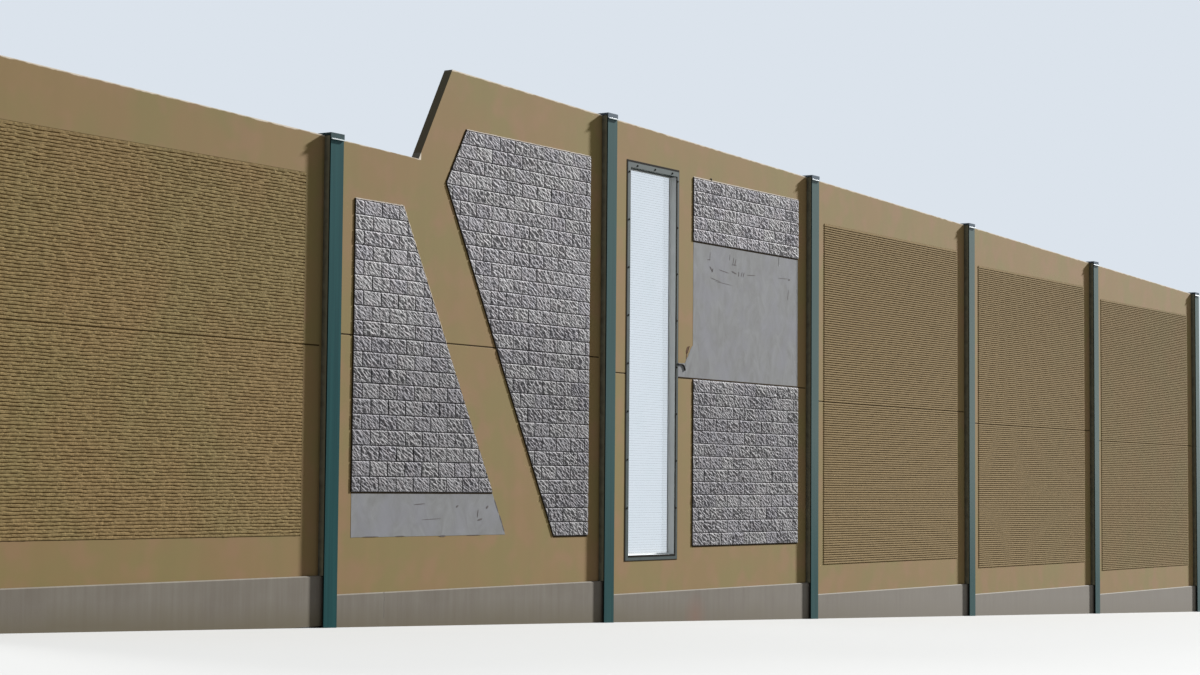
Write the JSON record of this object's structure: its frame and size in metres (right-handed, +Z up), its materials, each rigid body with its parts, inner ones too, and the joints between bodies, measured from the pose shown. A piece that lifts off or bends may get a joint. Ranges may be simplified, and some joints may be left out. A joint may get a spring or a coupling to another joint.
{
  "type": "highway noise barrier",
  "caption": "Highway noise barrier: concrete panels with ribbed and stone-faced fields and a tall window, between capped steel posts, stepping down a slope.",
  "frame": {"origin": "centre of the foot of post_6, the lowest end post, on the axis of its web", "axes": "+X runs along the wall to the right as seen from the road, +Y goes into the wall away from the road, and +Z is up; the wall stands on the -X side of the origin"},
  "size_m": [30.21, 0.2356, 6.7848],
  "materials": {
    "post_paint": "satin",
    "cap_sheet": "satin",
    "plinth_concrete": "matte",
    "panel_concrete": "matte",
    "ribbed_concrete": "matte",
    "split_stone": "matte",
    "frame_paint": "satin",
    "pane": "satin",
    "seal": "matte"
  },
  "bodies": {
    "root": {"post_0": "post_paint", "post_1": "post_paint", "post_2": "post_paint", "post_3": "post_paint", "post_4": "post_paint", "post_5": "post_paint", "post_6": "post_paint", "post_cap_0": "cap_sheet", "post_cap_1": "cap_sheet", "post_cap_2": "cap_sheet", "post_cap_3": "cap_sheet", "post_cap_4": "cap_sheet", "post_cap_5": "cap_sheet", "post_cap_6": "cap_sheet", "plinth_1": "plinth_concrete", "plinth_2": "plinth_concrete", "plinth_3": "plinth_concrete", "plinth_4": "plinth_concrete", "plinth_5": "plinth_concrete", "plinth_6": "plinth_concrete", "lower_panel_1": "panel_concrete", "lower_panel_2": "panel_concrete", "lower_panel_3": "panel_concrete", "lower_panel_4": "panel_concrete", "lower_panel_5": "panel_concrete", "lower_panel_6": "panel_concrete", "upper_panel_1": "panel_concrete", "upper_panel_2": "panel_concrete", "upper_panel_3": "panel_concrete", "upper_panel_4": "panel_concrete", "upper_panel_5": "panel_concrete", "upper_panel_6": "panel_concrete", "rib_field_1": "ribbed_concrete", "rib_field_4": "ribbed_concrete", "rib_field_5": "ribbed_concrete", "rib_field_6": "ribbed_concrete", "stone_trapezoid": "split_stone", "stone_pentagon": "split_stone", "stone_strip": "split_stone", "stone_field": "split_stone", "window_frame": "frame_paint", "window_pane": "pane", "front_seals": "seal"}
  },
  "joints": []
}
